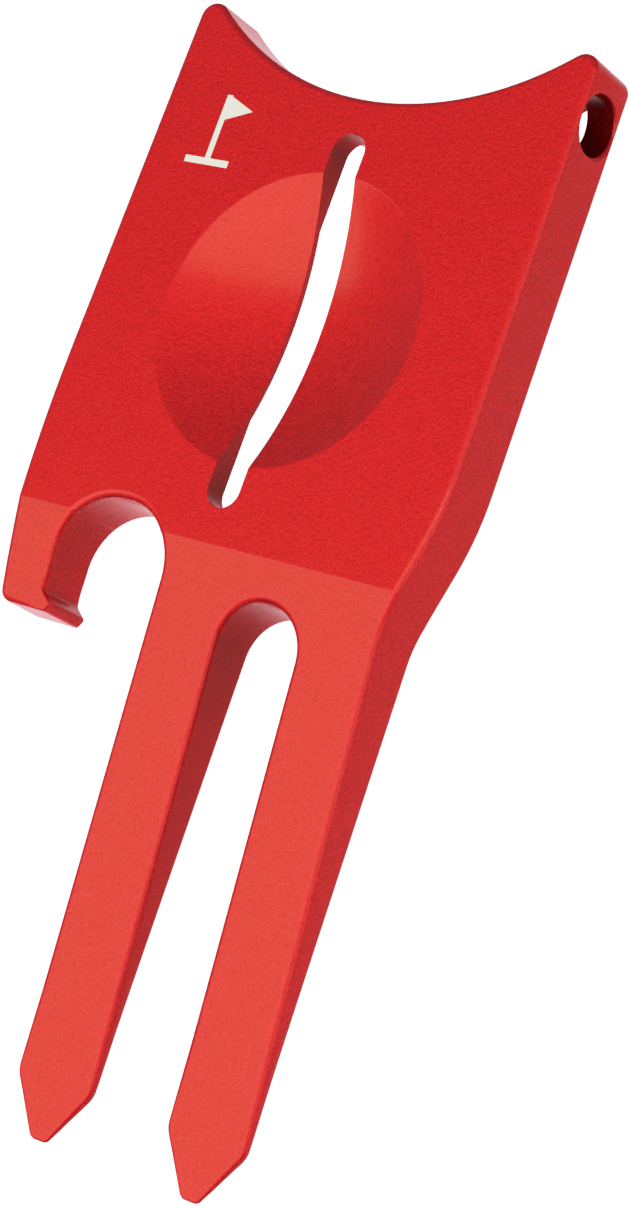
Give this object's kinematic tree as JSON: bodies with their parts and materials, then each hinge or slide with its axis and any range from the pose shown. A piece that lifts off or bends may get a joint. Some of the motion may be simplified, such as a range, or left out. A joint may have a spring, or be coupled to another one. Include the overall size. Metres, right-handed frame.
{
  "type": "divot repair tool",
  "caption": "Golf divot repair tool milled from anodised aluminium, with prongs, a slotted ball dish, a hook and a scalloped end.",
  "frame": {"origin": "middle of the bottom of the bounding box, level with the prong tips' backs", "axes": "+Y from the prongs to the scalloped end, +Z out of the front face with the dish, +X to the side with the key ring hole"},
  "size_m": [0.0302, 0.0684, 0.0053],
  "materials": {
    "anodised_red": "bead blasted and anodised red",
    "enamel_white": "satin white enamel"
  },
  "bodies": {
    "root": {"tool_body": "anodised_red", "emblem_fill": "enamel_white"}
  },
  "joints": []
}
